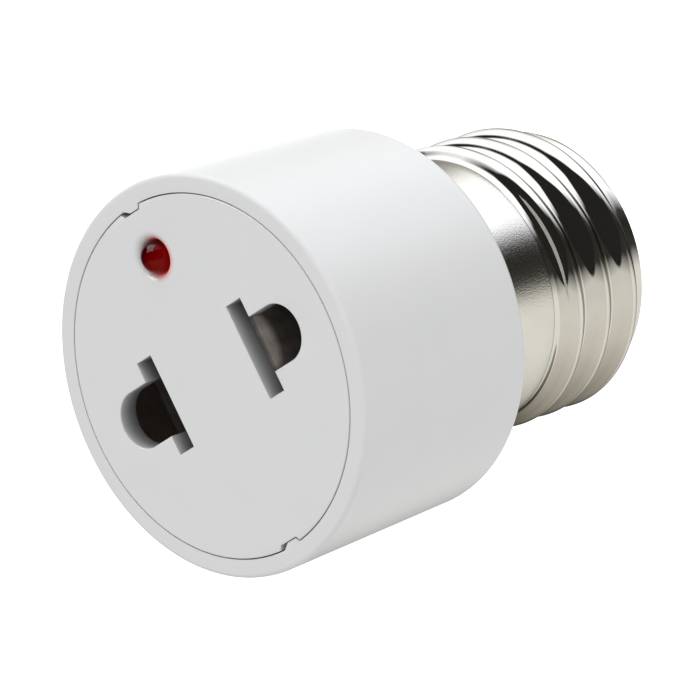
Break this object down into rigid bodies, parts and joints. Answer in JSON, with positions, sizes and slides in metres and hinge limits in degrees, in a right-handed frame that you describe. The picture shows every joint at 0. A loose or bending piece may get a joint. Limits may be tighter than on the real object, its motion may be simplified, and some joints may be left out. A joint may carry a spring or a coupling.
{
  "type": "lamp socket adapter",
  "caption": "Round white outlet adapter on a threaded metal lamp cap, with flat-blade and round-pin slots and a red indicator lamp in its flush front cover.",
  "frame": {"origin": "on the axis, in the plane of the body's rear shoulder, where the screw cap starts", "axes": "+Z along the axis towards the outlet face, X through the two pin slots, +Y towards the lamp"},
  "size_m": [0.0358, 0.0358, 0.049],
  "materials": {
    "white_plastic": "satin moulded plastic",
    "nickel_plate": "polished nickel plate on rolled sheet",
    "black_insulator": "black moulded insulator",
    "brass_strip": "dull stamped strip",
    "zinc_steel": "zinc-plated steel",
    "solder": "bright tin solder",
    "copper": "bare copper",
    "brown_sheath": "matt wire insulation",
    "blue_sheath": "matt wire insulation",
    "red_lens": "clear deep red moulded lens",
    "tinned_lead": "tinned wire",
    "clear_sleeve": "shrunk sleeve",
    "resistor_coat": "painted coat",
    "black_epoxy": "moulded epoxy"
  },
  "bodies": {
    "root": {"body_shell": "white_plastic", "front_cover": "white_plastic", "screw_shell": "nickel_plate", "base_insulator": "black_insulator", "centre_contact": "nickel_plate", "contact_washer": "brass_strip", "centre_solder": "solder", "shell_solder": "solder", "left_contact_clip": "brass_strip", "right_contact_clip": "brass_strip", "left_clip_screw": "zinc_steel", "right_clip_screw": "zinc_steel", "live_wire_core": "copper", "live_wire_sheath": "brown_sheath", "neutral_wire_core": "copper", "neutral_wire_sheath": "blue_sheath", "live_clip_solder": "solder", "neutral_clip_solder": "solder", "indicator_led": "red_lens", "led_anode_lead": "tinned_lead", "led_cathode_lead": "tinned_lead", "anode_sleeve": "clear_sleeve", "cathode_sleeve": "clear_sleeve", "series_resistor": "resistor_coat", "resistor_upper_lead": "tinned_lead", "resistor_lower_lead": "tinned_lead", "blocking_diode": "black_epoxy", "diode_upper_lead": "tinned_lead", "diode_lower_lead": "tinned_lead", "resistor_solder": "solder", "diode_solder": "solder"}
  },
  "joints": []
}
